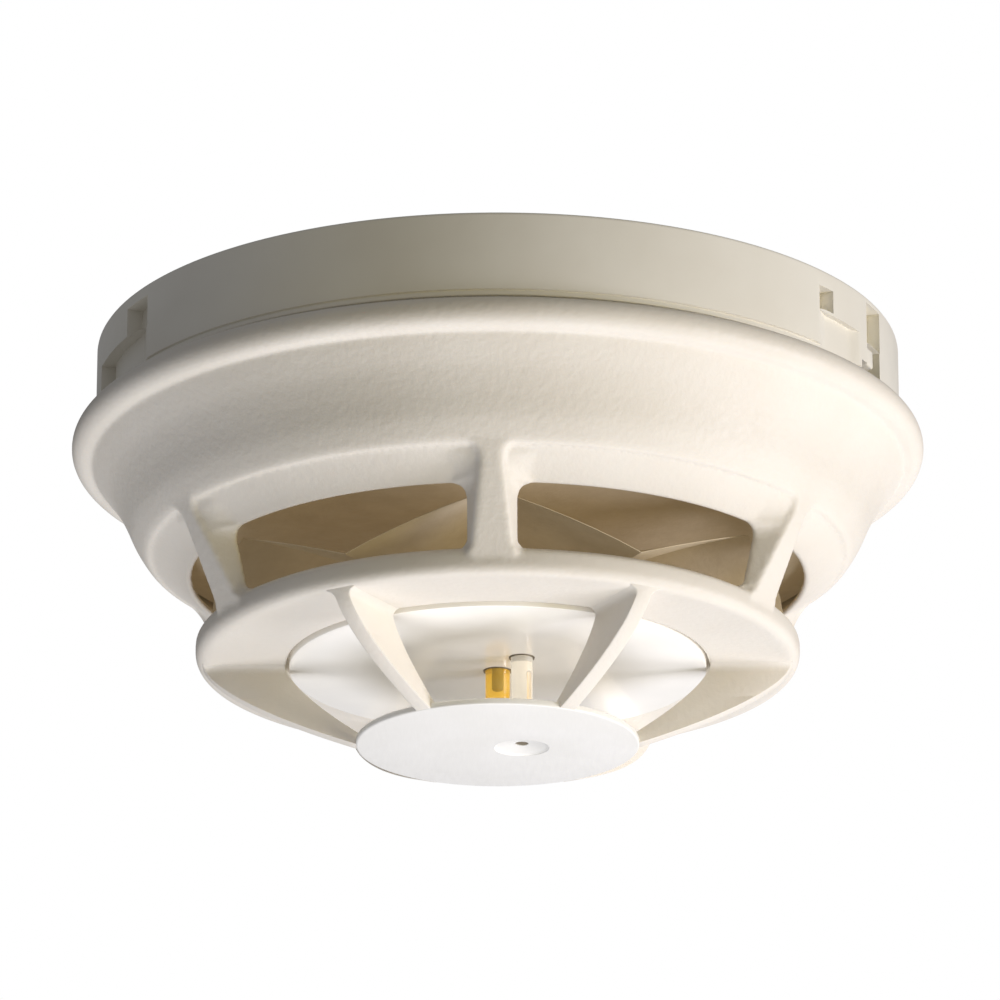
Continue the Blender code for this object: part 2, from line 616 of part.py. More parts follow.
def make_chassis():
    """The head's rear moulding: a plate, a collar with bayonet lugs, standoffs and blade pads."""
    inner = COLLAR_RADIUS - COLLAR_WALL
    chassis = turned("head_chassis", [
        (COLLAR_RADIUS, COLLAR_TOP), (COLLAR_RADIUS, CHASSIS_TOP), (CHASSIS_RADIUS, CHASSIS_TOP),
        (CHASSIS_RADIUS, CHASSIS_BOTTOM), (6.0 * MM, CHASSIS_BOTTOM), (6.0 * MM, CHASSIS_TOP),
        (inner, CHASSIS_TOP), (inner, COLLAR_TOP)], GREY)

    lug_radius = BASE_RADIUS - BASE_WALL - 0.4 * MM
    lug = [(lug_radius, COLLAR_TOP), (lug_radius, COLLAR_TOP + LUG_THICKNESS),
           (COLLAR_RADIUS - SINK, COLLAR_TOP + LUG_THICKNESS), (COLLAR_RADIUS - SINK, COLLAR_TOP)]
    for number, bearing in enumerate(BAYONET_BEARINGS, 1):
        join(chassis, sector(f"lug_tool_{number}", lug, bearing, LUG_HALF_ANGLE, GREY, CUTTERS, 4))

    for number, bearing in enumerate(SCREW_BEARINGS, 1):
        x, y, _ = place(BOARD_SCREW_CIRCLE, bearing, 0.0)
        join(chassis, rod(f"standoff_tool_{number}", STANDOFF_RADIUS, CHASSIS_BOTTOM - SINK,
                          CHASSIS_BOTTOM + STANDOFF_HEIGHT, (x, y), GREY, CUTTERS, 16))
        cut(chassis, rod(f"standoff_hole_tool_{number}", 1.5 * MM, CHASSIS_TOP + 0.6 * MM,
                         CHASSIS_BOTTOM + STANDOFF_HEIGHT + MM, (x, y), GREY, CUTTERS, 12))
        x, y, _ = place(COVER_SCREW_CIRCLE, bearing, 0.0)
        cut(chassis, rod(f"cover_screw_tool_{number}", 1.3 * MM, CHASSIS_TOP - MM,
                         CHASSIS_BOTTOM + MM, (x, y), GREY, CUTTERS, 12))

    for number, bearing in enumerate(TERMINAL_BEARINGS, 1):
        turn = bearing - CONTACT_OFFSET
        top = CONTACT_PAD_TOP + CONTACT_PAD_THICKNESS + GAP
        seat = place(TERMINAL_CIRCLE, turn, (top + CHASSIS_TOP + SINK) / 2)
        join(chassis, block(f"seat_tool_{number}", (8.0 * MM, 5.0 * MM, CHASSIS_TOP + SINK - top),
                            seat, turn, GREY, CUTTERS))
        leg = place(TERMINAL_CIRCLE + 3.9 * MM, turn, (top + CHASSIS_BOTTOM) / 2)
        cut(chassis, block(f"leg_slot_tool_{number}", (5.0 * MM, 2.0 * MM, 2 * CHASSIS_BOTTOM),
                           leg, turn, GREY, CUTTERS))
    return smooth(chassis)


def make_contact_blades():
    """Four L-shaped blades: a pad that wipes the base's leaf and a leg down to the board."""
    for number, bearing in enumerate(TERMINAL_BEARINGS, 1):
        turn = bearing - CONTACT_OFFSET
        length = 6.6 * MM
        pad_bottom = CONTACT_PAD_TOP + CONTACT_PAD_THICKNESS
        blade = block(f"contact_blade_{number}", (7.0 * MM, length, CONTACT_PAD_THICKNESS),
                      place(TERMINAL_CIRCLE + 0.9 * MM, turn, (CONTACT_PAD_TOP + pad_bottom) / 2),
                      turn, BRASS)
        leg_end = BOARD_TOP - GAP
        leg = (3.0 * MM, 0.8 * MM, leg_end - CONTACT_PAD_TOP - 0.1 * MM)
        outer = TERMINAL_CIRCLE + 0.9 * MM + length / 2
        join(blade, block(f"leg_tool_{number}", leg,
                          place(outer - 0.5 * MM, turn, (CONTACT_PAD_TOP + 0.1 * MM + leg_end) / 2),
                          turn, BRASS, CUTTERS))


def make_board():
    """The round circuit board under the chassis, with the parts that it carries."""
    chamfer = 0.2 * MM
    board = turned("circuit_board", [
        (0.0, BOARD_TOP), (BOARD_RADIUS - chamfer, BOARD_TOP), (BOARD_RADIUS, BOARD_TOP + chamfer),
        (BOARD_RADIUS, BOARD_BOTTOM - chamfer), (BOARD_RADIUS - chamfer, BOARD_BOTTOM),
        (0.0, BOARD_BOTTOM)], BOARD)
    screw_top = BOARD_TOP - STANDOFF_HEIGHT + 0.5 * MM
    for number, bearing in enumerate(SCREW_BEARINGS, 1):
        x, y, _ = place(BOARD_SCREW_CIRCLE, bearing, 0.0)
        cut(board, rod(f"board_hole_tool_{number}", 1.6 * MM, BOARD_TOP - MM, BOARD_BOTTOM + MM,
                       (x, y), BOARD, CUTTERS, 12))
        slotted_screw(f"board_screw_{number}", (x, y), screw_top, BOARD_BOTTOM + GAP,
                      1.2 * MM, 2.6 * MM, 1.3 * MM, bearing)

    under = BOARD_BOTTOM + GAP
    packages = (("controller_chip", (9.0 * MM, 9.0 * MM, 1.4 * MM), 17.0 * MM, 200, CHIP),
                ("bridge_rectifier", (6.0 * MM, 5.0 * MM, 2.4 * MM), 30.0 * MM, 95, CHIP),
                ("surge_suppressor", (5.0 * MM, 3.6 * MM, 2.3 * MM), 31.0 * MM, 125, CHIP),
                ("clock_resonator", (7.0 * MM, 3.0 * MM, 1.8 * MM), 18.0 * MM, 245, STEEL),
                ("indicator_driver", (4.9 * MM, 3.9 * MM, 1.5 * MM), 14.0 * MM, 60, CHIP))
    for name, size, circle, bearing, material in packages:
        block(name, size, place(circle, bearing, under + size[2] / 2), bearing, material)
    x, y, _ = place(30.0 * MM, 270, 0.0)
    can = turned("line_capacitor", [(0.0, under), (3.15 * MM, under), (3.15 * MM, under + 5.2 * MM),
                                    (2.7 * MM, under + 5.6 * MM), (0.0, under + 5.6 * MM)],
                 STEEL, centre=(x, y), segments=24)
    return board, can


def make_cover_screws():
    """Three screws driven down through the chassis rim into the cover's bosses."""
    for number, bearing in enumerate(SCREW_BEARINGS, 1):
        x, y, _ = place(COVER_SCREW_CIRCLE, bearing, 0.0)
        head_bottom = CHASSIS_TOP - GAP
        head_top = head_bottom - 1.3 * MM
        tip = COVER_BOSS_DEPTH - 2.0 * MM
        screw = turned(f"cover_screw_{number}", [
            (0.0, head_top), (1.5 * MM, head_top), (1.9 * MM, head_top + 0.4 * MM),
            (1.9 * MM, head_bottom), (1.0 * MM, head_bottom), (1.0 * MM, tip),
            (0.0, tip)], STEEL, centre=(x, y), segments=20)
        slot = (6 * MM, 0.7 * MM, 1.2 * MM)
        cut(screw, block(f"cover_screw_slot_tool_{number}", slot, (x, y, -head_top), bearing + 40,
                         STEEL, CUTTERS))


def vane_depth(bearing):
    """The folded vane is lowest in the middle of a window and highest behind a rib."""
    bay = 360.0 / BAYS
    from_middle = abs((bearing % bay) - bay / 2) / (bay / 2)
    return VANE_TOP_DEPTH + VANE_DROP * (1 - from_middle)


def make_deflector():
    """The chamber's roof, its hollow hub and a folded vane that leads air down to the sensor."""
    bore = HUB_RADIUS - HUB_WALL
    deflector = turned("air_deflector", [
        (ROOF_RADIUS, ROOF_DEPTH), (ROOF_RADIUS, ROOF_DEPTH + ROOF_THICKNESS),
        (HUB_RADIUS, ROOF_DEPTH + ROOF_THICKNESS), (HUB_RADIUS, INNER_COVER_TOP - GAP),
        (bore, INNER_COVER_TOP - GAP), (bore, ROOF_DEPTH)], TAN)

    def build(work):
        loops = []
        count = 4 * BAYS
        for step in range(count):
            bearing = 360.0 * step / count
            depth = vane_depth(bearing)
            corners = ((VANE_RADIUS, depth), (VANE_RADIUS, depth + VANE_THICKNESS),
                       (HUB_RADIUS - SINK, depth + VANE_THICKNESS), (HUB_RADIUS - SINK, depth))
            loops.append([work.verts.new(place(radius, bearing, level))
                          for radius, level in corners])
        for first, second in zip(loops, loops[1:] + loops[:1]):
            for i in range(4):
                j = (i + 1) % 4
                work.faces.new((first[i], first[j], second[j], second[i]))
    vane = add_object("vane_tool", mesh_from("vane_tool", build), TAN, CUTTERS)
    join(deflector, vane)
    return smooth(deflector)


def make_inner_cover():
    """The white face inside the cage, with one opening for the sensor and the light pipe."""
    face = INNER_COVER_FACE
    rim = INNER_COVER_RADIUS
    flange = rim + SEAT_FLANGE
    edge = 0.5 * MM
    cover = turned("inner_cover", [
        (flange, INNER_COVER_TOP), (flange, INNER_COVER_TOP + SEAT_THICKNESS),
        (rim, INNER_COVER_TOP + SEAT_THICKNESS), (rim, face - edge),
        (rim - edge * 0.3, face - edge * 0.3), (rim - edge, face), (0.0, face),
        (0.0, face - INNER_COVER_THICKNESS), (rim - 1.4 * MM, face - INNER_COVER_THICKNESS),
        (rim - 1.4 * MM, INNER_COVER_TOP)], WHITE)
    for name, radius, centre in (("bead_hole_tool", THERMISTOR_RADIUS + 0.25 * MM, (0.0, 0.0)),
                                 ("pipe_hole_tool", PIPE_RADIUS + 0.25 * MM, (PIPE_X, PIPE_Y))):
        cut(cover, rod(name, radius, face - 3 * MM, face + MM, centre, WHITE, CUTTERS, 24))
    return smooth(cover)


def make_sensor():
    """The thermistor bead, its two leads, the indicator and its light pipe."""
    tip = INNER_COVER_FACE + THERMISTOR_REACH
    shoulder = INNER_COVER_FACE - 3.0 * MM
    radius = THERMISTOR_RADIUS
    profile = [(0.0, shoulder), (radius, shoulder)]
    for turn in range(0, 91, 18):
        angle = math.radians(turn)
        profile.append((radius * math.cos(angle), tip - radius + radius * math.sin(angle)))
    profile[-1] = (0.0, tip)
    bead = turned("thermistor_bead", profile, AMBER, segments=24)
    for number, side in enumerate((-1, 1), 1):
        rod(f"thermistor_lead_{number}", LEAD_RADIUS, BOARD_BOTTOM + GAP, shoulder - GAP,
            (side * LEAD_SPACING / 2, 0.0), STEEL, segments=8)

    top = BOARD_BOTTOM + GAP
    width, length, height = LED_SIZE
    block("indicator_led", (width, length, height),
          (PIPE_X, PIPE_Y, -(top + height / 2)), 0.0, RED)
    pipe_top = top + height + GAP
    pipe_end = DISC_TOP - GAP
    turned("light_pipe", [(0.0, pipe_top), (PIPE_RADIUS, pipe_top), (PIPE_RADIUS, pipe_end - 0.3 * MM),
                          (PIPE_RADIUS - 0.3 * MM, pipe_end), (0.0, pipe_end)],
           CLEAR, centre=(PIPE_X, PIPE_Y), segments=24)
    return bead


make_base()
make_terminals()
make_latch()
make_outer_cover()
make_chassis()
make_contact_blades()
make_board()
make_cover_screws()
make_deflector()
make_inner_cover()
make_sensor()
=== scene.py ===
"""Ceiling heat detector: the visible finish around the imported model.

Outlines are in millimetres as (radius, depth), where a depth is a distance down from the ceiling.
A bearing is in degrees about the vertical axis, 0 at the front (-Y) and 90 at +X.
"""
import json
import math

import bpy
import bmesh
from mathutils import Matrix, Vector


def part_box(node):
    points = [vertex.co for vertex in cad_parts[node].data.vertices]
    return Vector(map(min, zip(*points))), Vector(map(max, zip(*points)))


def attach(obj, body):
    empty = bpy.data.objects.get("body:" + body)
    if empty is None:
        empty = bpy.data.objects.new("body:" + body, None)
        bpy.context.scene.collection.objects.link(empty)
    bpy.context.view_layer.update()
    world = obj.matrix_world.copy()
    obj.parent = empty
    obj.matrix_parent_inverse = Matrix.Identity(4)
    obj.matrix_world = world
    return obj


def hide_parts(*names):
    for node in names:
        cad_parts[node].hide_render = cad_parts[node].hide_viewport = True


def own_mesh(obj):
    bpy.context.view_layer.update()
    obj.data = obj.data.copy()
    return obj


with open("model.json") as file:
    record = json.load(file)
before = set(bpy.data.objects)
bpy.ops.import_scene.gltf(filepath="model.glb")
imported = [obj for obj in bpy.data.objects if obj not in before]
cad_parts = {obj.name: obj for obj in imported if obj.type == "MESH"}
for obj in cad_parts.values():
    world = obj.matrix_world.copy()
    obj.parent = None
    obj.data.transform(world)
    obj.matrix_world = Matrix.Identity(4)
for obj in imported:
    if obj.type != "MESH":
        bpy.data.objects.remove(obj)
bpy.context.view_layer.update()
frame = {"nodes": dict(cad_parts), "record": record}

MM = 0.001
TURN_STEPS = 240


def millimetres(node):
    """The node's outer radius and its top and bottom depths."""
    low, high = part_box(node)
    return max(high[0], high[1]) / MM, -high[2] / MM, -low[2] / MM


BEAD_RADIUS, COVER_TOP, DISC_FACE = millimetres("outer_cover")
BASE_RADIUS, BASE_TOP, BASE_BOTTOM = millimetres("mounting_base")
FLANGE_RADIUS, FLANGE_TOP, INNER_FACE = millimetres("inner_cover")
BAYS = 6


# ------------------------------------------------------------------ camera and light

def make_camera():
    """A long lens a little under the ceiling, looking up at the detector."""
    distance, drop, aim = 0.850, 0.314, -0.0204
    turn = math.radians(1.0)
    data = bpy.data.cameras.new("camera")
    data.lens = 240.0
    data.sensor_width = 36.0
    data.shift_x = 0.0023
    data.clip_start, data.clip_end = 0.01, 20.0
    camera = bpy.data.objects.new("camera", data)
    bpy.context.scene.collection.objects.link(camera)
    camera.location = (distance * math.sin(turn), -distance * math.cos(turn), -drop)
    pitch = math.atan2(drop + aim, distance)
    camera.rotation_euler = (math.radians(90) + pitch, 0.0, turn)
    bpy.context.scene.camera = camera


def area_light(name, place, size, power, colour):
    """A round light in metres and watts, turned to the detector, that the camera doesn't see."""
    data = bpy.data.lights.new(name, "AREA")
    data.shape = "DISK"
    data.size = size
    data.energy = power
    data.color = colour
    light = bpy.data.objects.new(name, data)
    bpy.context.scene.collection.objects.link(light)
    light.location = place
    away = light.location - Vector((0.0, 0.0, -0.03))
    light.rotation_euler = away.to_track_quat("Z", "Y").to_euler()
    light.visible_camera = False


def make_lights():
    """A key low on the right, a warm light beside it, and a broad soft one from the floor."""
    area_light("key", (1.5, -0.35, -0.55), 0.7, 20.0, (0.92, 0.91, 1.0))
    area_light("warm_key", (1.1, -1.1, -0.35), 0.7, 4.6, (1.0, 0.83, 0.3))
    area_light("floor_bounce", (0.0, 0.2, -1.6), 1.6, 22.0, (0.95, 0.95, 1.0))

    world = bpy.data.worlds.new("studio")
    bpy.context.scene.world = world
    world.use_nodes = True
    tree = world.node_tree
    tree.nodes.clear()
    camera_ray = add_node(tree, "ShaderNodeLightPath").outputs["Is Camera Ray"]
    seen = add_node(tree, "ShaderNodeBackground", None,
                    {"Color": (1.0, 1.0, 1.0, 1.0), "Strength": 1.0}).outputs[0]
    fill = add_node(tree, "ShaderNodeBackground", None,
                    {"Color": (0.95, 0.96, 1.0, 1.0), "Strength": 0.22}).outputs[0]
    mix = add_node(tree, "ShaderNodeMixShader", None, {0: camera_ray, 1: fill, 2: seen})
    add_node(tree, "ShaderNodeOutputWorld", None, {"Surface": mix.outputs[0]})
    bpy.context.scene.view_settings.view_transform = "Standard"


# ------------------------------------------------------------------ materials

def linear(hex_colour):
    """An sRGB hex colour as linear red, green, blue and alpha."""
    channels = []
    for start in (1, 3, 5):
        value = int(hex_colour[start:start + 2], 16) / 255
        channels.append(value / 12.92 if value <= 0.04045 else ((value + 0.055) / 1.055) ** 2.4)
    return (*channels, 1.0)


def add_node(tree, kind, settings=None, inputs=None):
    """Adds one node; an input takes a value, or a linked output of another node."""
    node = tree.nodes.new(kind)
    for name, value in (settings or {}).items():
        setattr(node, name, value)
    for name, value in (inputs or {}).items():
        if isinstance(value, bpy.types.NodeSocket):
            tree.links.new(value, node.inputs[name])
        else:
            node.inputs[name].default_value = value
    return node


def new_material(name, roughness, metallic=0.0, ior=1.5):
    """A material, its node tree, its shader and the object's own coordinates."""
    material = bpy.data.materials.new(name)
    material.use_nodes = True
    tree = material.node_tree
    shader = tree.nodes["Principled BSDF"]
    shader.inputs["Roughness"].default_value = roughness
    shader.inputs["Metallic"].default_value = metallic
    if not metallic:
        shader.inputs["IOR"].default_value = ior
    place = add_node(tree, "ShaderNodeTexCoord").outputs["Object"]
    return material, tree, shader, place


def noise(tree, place, size_mm, detail=2.0):
    """Noise whose spots are about this many millimetres wide."""
    return add_node(tree, "ShaderNodeTexNoise", None,
                    {"Vector": place, "Scale": 1.0 / (size_mm * MM), "Detail": detail})


def tint(tree, shader, factor, dark, light, low=0.3, high=0.7):
    """Colours the shader between two hex colours as a factor goes from low to high."""
    ramp = add_node(tree, "ShaderNodeValToRGB", None, {"Fac": factor})
    ramp.color_ramp.elements[0].position = low
    ramp.color_ramp.elements[1].position = high
    ramp.color_ramp.elements[0].color = linear(dark)
    ramp.color_ramp.elements[1].color = linear(light)
    tree.links.new(ramp.outputs["Color"], shader.inputs["Base Color"])


def roughen(tree, shader, factor, low, high):
    """Varies the roughness between two values with a factor."""
    spread = add_node(tree, "ShaderNodeMapRange", None,
                      {"Value": factor, "From Min": 0.3, "From Max": 0.7, "To Min": low,
                       "To Max": high})
    tree.links.new(spread.outputs["Result"], shader.inputs["Roughness"])


def bump(tree, shader, height, depth_mm, under=None):
    """Raises a relief this many millimetres deep, over another one if that is given."""
    inputs = {"Height": height, "Distance": depth_mm * MM, "Strength": 1.0}
    if under is not None:
        inputs["Normal"] = under
    node = add_node(tree, "ShaderNodeBump", None, inputs)
    tree.links.new(node.outputs["Normal"], shader.inputs["Normal"])
    return node.outputs["Normal"]


def glow(shader, colour, strength):
    """A little light of its own, in place of light that passes through the material."""
    shader.inputs["Emission Color"].default_value = linear(colour)
    shader.inputs["Emission Strength"].default_value = strength


def eroded_abs():
    """Cream ABS from a spark-eroded mould: a fine even orange-peel grain with a soft sheen."""
    material, tree, shader, place = new_material("spark_eroded_cream_abs", 0.42)
    clouds = noise(tree, place, 18.0, 3.0).outputs["Fac"]
    tint(tree, shader, clouds, "#E2DBCF", "#E7E1D6")
    pits = noise(tree, place, 0.9, 3.0).outputs["Fac"]
    roughen(tree, shader, pits, 0.5, 0.62)
    swell = noise(tree, place, 2.6, 1.0).outputs["Fac"]
    coarse = bump(tree, shader, swell, 0.03)
    bump(tree, shader, pits, 0.065, coarse)
    shader.inputs["Subsurface Weight"].default_value = 0.08
    shader.inputs["Subsurface Radius"].default_value = (1.0, 0.8, 0.6)
    shader.inputs["Subsurface Scale"].default_value = 0.0012
    return material


def satin_abs(name="satin_cream_abs", dark="#EAE5D9", light="#EFEBE0"):
    """Cream ABS from a polished mould: smooth, with faint flow marks and hairline scuffs."""
    material, tree, shader, place = new_material(name, 0.4)
    clouds = noise(tree, place, 12.0, 3.0).outputs["Fac"]
    tint(tree, shader, clouds, dark, light)
    flow = noise(tree, place, 3.5, 3.0).outputs["Fac"]
    roughen(tree, shader, flow, 0.34, 0.44)
    bump(tree, shader, flow, 0.03)
    return material


def scuffed_abs():
    """Smooth near-white ABS for the disc, with fine handling scratches."""
    material, tree, shader, place = new_material("scuffed_white_abs", 0.35)
    clouds = noise(tree, place, 9.0, 3.0).outputs["Fac"]
    tint(tree, shader, clouds, "#EFEDE7", "#F3F1EC")
    stretched = add_node(tree, "ShaderNodeMapping", None,
                         {"Vector": place, "Rotation": (0.0, 0.0, math.radians(62)),
                          "Scale": (1.0, 0.2, 1.0)})
    scratches = noise(tree, stretched.outputs["Vector"], 0.6, 4.0).outputs["Fac"]
    roughen(tree, shader, scratches, 0.32, 0.42)
    bump(tree, shader, scratches, 0.015)
    return material


def gloss_white():
    """Glossy white moulding with a slight ripple, and a faint painted glow that lightens its shade.
    """
    material, tree, shader, place = new_material("gloss_white_moulding", 0.2)
    clouds = noise(tree, place, 14.0, 2.0).outputs["Fac"]
    tint(tree, shader, clouds, "#F8F5EE", "#FBF9F4")
    ripple = noise(tree, place, 6.0, 1.0).outputs["Fac"]
    roughen(tree, shader, ripple, 0.16, 0.26)
    bump(tree, shader, ripple, 0.04)
    shader.inputs["Coat Weight"].default_value = 0.3
    shader.inputs["Coat Roughness"].default_value = 0.06
    # painted glow: a faint cream light that lightens the shade under the disc
    glow(shader, "#F5E8D2", 0.08)
    return material


def shade_darkened_polymer():
    """The baffle's thin cream moulding, dull and mottled, darkened to a brownish cream as painted
    shade, with a painted glow.
    """
    material, tree, shader, place = new_material("cream_moulding_painted_shade_and_glow", 0.55)
    clouds = noise(tree, place, 5.0, 4.0).outputs["Fac"]
    # painted shade: the cream is darkened to the brownish tone the chamber's shade gives it
    tint(tree, shader, clouds, "#C4B598", "#D2C5AB")
    grain = noise(tree, place, 0.8, 2.0).outputs["Fac"]
    roughen(tree, shader, grain, 0.45, 0.62)
    bump(tree, shader, grain, 0.05)
    # painted glow that lightens the chamber's shade
    glow(shader, "#AE9A7A", 0.15)
    return material


def grey_polymer():
    """Glass-filled grey moulding with a matt fibrous skin."""
    material, tree, shader, place = new_material("glass_filled_grey_moulding", 0.6)
    fibres = noise(tree, place, 1.2, 6.0).outputs["Fac"]
    tint(tree, shader, fibres, "#7C7C7B", "#93928F")
    roughen(tree, shader, fibres, 0.5, 0.7)
    bump(tree, shader, fibres, 0.04)
    return material


def rolled_metal(name, dark, light, rough):
    """Rolled sheet or turned metal with fine drawing lines."""
    material, tree, shader, place = new_material(name, 0.3, 1.0)
    drawn = add_node(tree, "ShaderNodeMapping", None,
                     {"Vector": place, "Scale": (1.0, 0.08, 0.5)}).outputs["Vector"]
    lines = noise(tree, drawn, 0.25, 3.0).outputs["Fac"]
    tint(tree, shader, lines, dark, light)
    roughen(tree, shader, lines, *rough)
    bump(tree, shader, lines, 0.02)
    return material


def solder_mask():
    """Green solder mask over copper tracks, which show as slightly raised paler lines."""
    material, tree, shader, place = new_material("green_solder_mask", 0.3)
    tracks = add_node(tree, "ShaderNodeTexBrick", {"offset": 0.5},
                      {"Vector": place, "Scale": 180.0, "Mortar Size": 0.06,
                       "Color1": (0.0, 0.0, 0.0, 1.0), "Color2": (0.0, 0.0, 0.0, 1.0),
                       "Mortar": (1.0, 1.0, 1.0, 1.0)}).outputs["Fac"]
    tint(tree, shader, tracks, "#0C4526", "#1F6B3C", 0.2, 0.8)
    bump(tree, shader, tracks, 0.035)
    return material


def moulded_epoxy():
    """Black moulded epoxy with a fine matt bloom."""
    material, tree, shader, place = new_material("black_moulded_epoxy", 0.5)
    grain = noise(tree, place, 0.4, 3.0).outputs["Fac"]
    tint(tree, shader, grain, "#131313", "#232322")
    roughen(tree, shader, grain, 0.42, 0.6)
    bump(tree, shader, grain, 0.03)
    return material


def amber_epoxy():
    """Clear amber epoxy dip over the thermistor, smooth and wet-looking, with faint streaks and a
    painted glow.
    """
    material, tree, shader, place = new_material("amber_epoxy_dip", 0.08, ior=1.52)
    streaks = noise(tree, place, 1.4, 2.0).outputs["Fac"]
    tint(tree, shader, streaks, "#F5C648", "#FCD868")
    shader.inputs["Transmission Weight"].default_value = 0.7
    # painted glow that brightens the bead
    glow(shader, "#E6BC48", 0.2)
    bump(tree, shader, streaks, 0.03)
    return material


def sintered_core():
    """The thermistor's sintered ceramic body inside the dip, brown and matt."""
    material, tree, shader, place = new_material("sintered_brown_ceramic", 0.5)
    grain = noise(tree, place, 0.5, 3.0).outputs["Fac"]
    tint(tree, shader, grain, "#3A1E05", "#53300A")
    bump(tree, shader, grain, 0.04)
    return material


def clear_acrylic():
    """Polished clear acrylic with faint swirls, and a painted glow that keeps it pale."""
    material, tree, shader, place = new_material("polished_clear_acrylic", 0.04, ior=1.49)
    swirl = noise(tree, place, 2.2, 2.0).outputs["Fac"]
    tint(tree, shader, swirl, "#F6F1E4", "#FDF9F0")
    shader.inputs["Transmission Weight"].default_value = 0.8
    # painted glow standing in for the pale light seen through the rod
    glow(shader, "#F2EADC", 0.16)
    bump(tree, shader, swirl, 0.03)
    return material


def red_lens():
    """Tinted red lens of the indicator, glossy and a little cloudy."""
    material, tree, shader, place = new_material("tinted_red_lens", 0.15)
    clouds = noise(tree, place, 1.5, 2.0).outputs["Fac"]
    tint(tree, shader, clouds, "#8E0F0B", "#C01A12")
    bump(tree, shader, clouds, 0.02)
    return material


# ------------------------------------------------------------------ modelling helpers

def spot(radius, bearing, depth):
    """A point in metres from a radius and depth in millimetres and a bearing."""
    angle = math.radians(bearing)
    return (radius * MM * math.sin(angle), -radius * MM * math.cos(angle), -depth * MM)


def round_node(node):
    """The middle, radius and top and bottom depths of an upright round node, in millimetres."""
    low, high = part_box(node)
    centre = ((low[0] + high[0]) / 2 / MM, (low[1] + high[1]) / 2 / MM)
    return centre, (high[0] - low[0]) / 2 / MM, -high[2] / MM, -low[2] / MM


def start(add, **settings):
    """Adds a primitive with nothing else selected and returns it."""
    bpy.ops.object.select_all(action="DESELECT")
    add(**settings)
    return bpy.context.object


def name_piece(piece, name, material):
    """Names the piece and gives it its finish."""
    piece.name = name
    piece.data.name = name
    piece.data.materials.clear()
    piece.data.materials.append(material)


def pick(*pieces):
    """Selects these pieces and nothing else, with the first one active."""
    bpy.ops.object.select_all(action="DESELECT")
    for piece in pieces:
        piece.select_set(True)
    bpy.context.view_layer.objects.active = pieces[0]


def settle(piece):
    """Puts the piece's place into its mesh."""
    pick(piece)
    bpy.ops.object.transform_apply(location=True, rotation=True, scale=True)
    return piece


def spun(outline, steps=TURN_STEPS, centre=(0.0, 0.0)):
    """A turned piece: one vertex is extruded along the outline, which is then spun a full turn."""
    first = outline[0]
    piece = start(bpy.ops.mesh.primitive_plane_add, size=0.001)
    bpy.ops.object.mode_set(mode="EDIT")
    bpy.ops.mesh.merge(type="CENTER")
    bpy.ops.transform.translate(value=(first[0] * MM, 0.0, -first[1] * MM))
    for here, there in zip(outline, outline[1:]):
        step = ((there[0] - here[0]) * MM, 0.0, (here[1] - there[1]) * MM)
        bpy.ops.mesh.extrude_region_move(TRANSFORM_OT_translate={"value": step})
    bpy.ops.mesh.select_all(action="SELECT")
    bpy.ops.mesh.remove_doubles(threshold=1e-7)
    bpy.ops.mesh.spin(steps=steps, angle=2 * math.pi, center=(0.0, 0.0, 0.0),
                      axis=(0.0, 0.0, 1.0))
    bpy.ops.mesh.select_all(action="SELECT")
    bpy.ops.mesh.remove_doubles(threshold=1e-6)
    bpy.ops.mesh.normals_make_consistent(inside=False)
    bpy.ops.object.mode_set(mode="OBJECT")
    piece.location = (centre[0] * MM, centre[1] * MM, 0.0)
    return settle(piece)


def arc(centre, radius, start_turn, end_turn, steps=6):
    """Points on an arc; 0 degrees points outwards and 90 points down."""
    points = []
    for step in range(steps + 1):
        turn = math.radians(start_turn + (end_turn - start_turn) * step / steps)
        points.append((centre[0] + radius * math.cos(turn), centre[1] + radius * math.sin(turn)))
    return points


def through(points, steps=4):
    """A smooth curve through a few points."""
    ends = [points[0]] + list(points) + [points[-1]]
    curve = []
    for before, a, b, after in zip(ends, ends[1:], ends[2:], ends[3:]):
        for step in range(steps):
            t = step / steps
            curve.append(tuple(
                0.5 * (2 * a[i] + (b[i] - before[i]) * t
                       + (2 * before[i] - 5 * a[i] + 4 * b[i] - after[i]) * t * t
                       + (3 * a[i] - before[i] - 3 * b[i] + after[i]) * t ** 3)
                for i in (0, 1)))
    curve.append(points[-1])
    return curve


def beside(bearing, radius, aside, depth):
    """A point at a radius along a bearing, moved sideways off it."""
    angle = math.radians(bearing)
    return ((radius * math.sin(angle) + aside * math.cos(angle)) * MM,
            (-radius * math.cos(angle) + aside * math.sin(angle)) * MM, -depth * MM)


def flare(distance, radius):
    """How much wider a web is at a distance from the wall that its fillet meets."""
    if distance >= radius:
        return 0.0
    gap = radius - max(0.0, distance)
    return radius - math.sqrt(radius * radius - gap * gap)


def web(sections):
    """A closed web through equal loops of points, for ribs and fins that no primitive gives."""
    mesh = bpy.data.meshes.new("web")
    work = bmesh.new()
    loops = [[work.verts.new(point) for point in section] for section in sections]
    count = len(loops[0])
    for first, second in zip(loops, loops[1:]):
        for i in range(count):
            j = (i + 1) % count
            work.faces.new((first[i], first[j], second[j], second[i]))
    work.faces.new(loops[0])
    work.faces.new(loops[-1])
    bmesh.ops.recalc_face_normals(work, faces=work.faces)
    work.to_mesh(mesh)
    work.free()
    piece = bpy.data.objects.new("web", mesh)
    bpy.context.scene.collection.objects.link(piece)
    return piece


def apply_modifier(piece, name, kind, **settings):
    """Puts one modifier on the piece and applies it."""
    pick(piece)
    modifier = piece.modifiers.new(name, kind)
    for key, value in settings.items():
        setattr(modifier, key, value)
    bpy.ops.object.modifier_apply(modifier=name)


